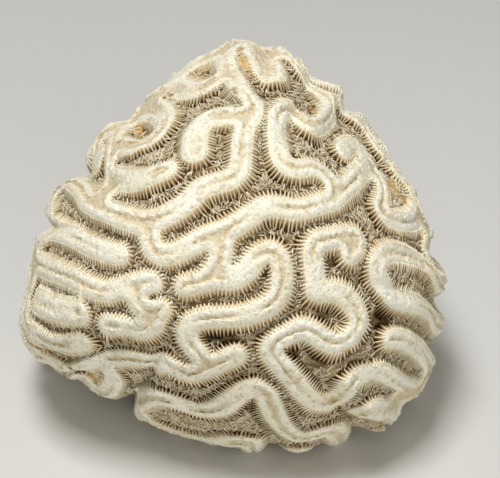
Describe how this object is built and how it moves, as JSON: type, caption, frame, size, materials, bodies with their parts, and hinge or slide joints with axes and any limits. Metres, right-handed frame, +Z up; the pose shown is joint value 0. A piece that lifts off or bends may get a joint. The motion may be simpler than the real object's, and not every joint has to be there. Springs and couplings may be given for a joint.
{
  "type": "brain coral",
  "caption": "Domed head of dry brain coral skeleton with winding double-crested walls and deep combed valleys, cut off flat underneath to rest on.",
  "frame": {"origin": "middle of the footprint of the bounding box, on the flat cut that the coral rests on", "axes": "+Z up out of the flat cut; -Y towards the side that the picture shows, +X to its right"},
  "size_m": [0.085, 0.0854, 0.069],
  "materials": {
    "skeleton": "dry chalky coral skeleton: pale cream wall tops, tan combed valleys, matt"
  },
  "bodies": {
    "root": {"coral": "skeleton"}
  },
  "joints": []
}
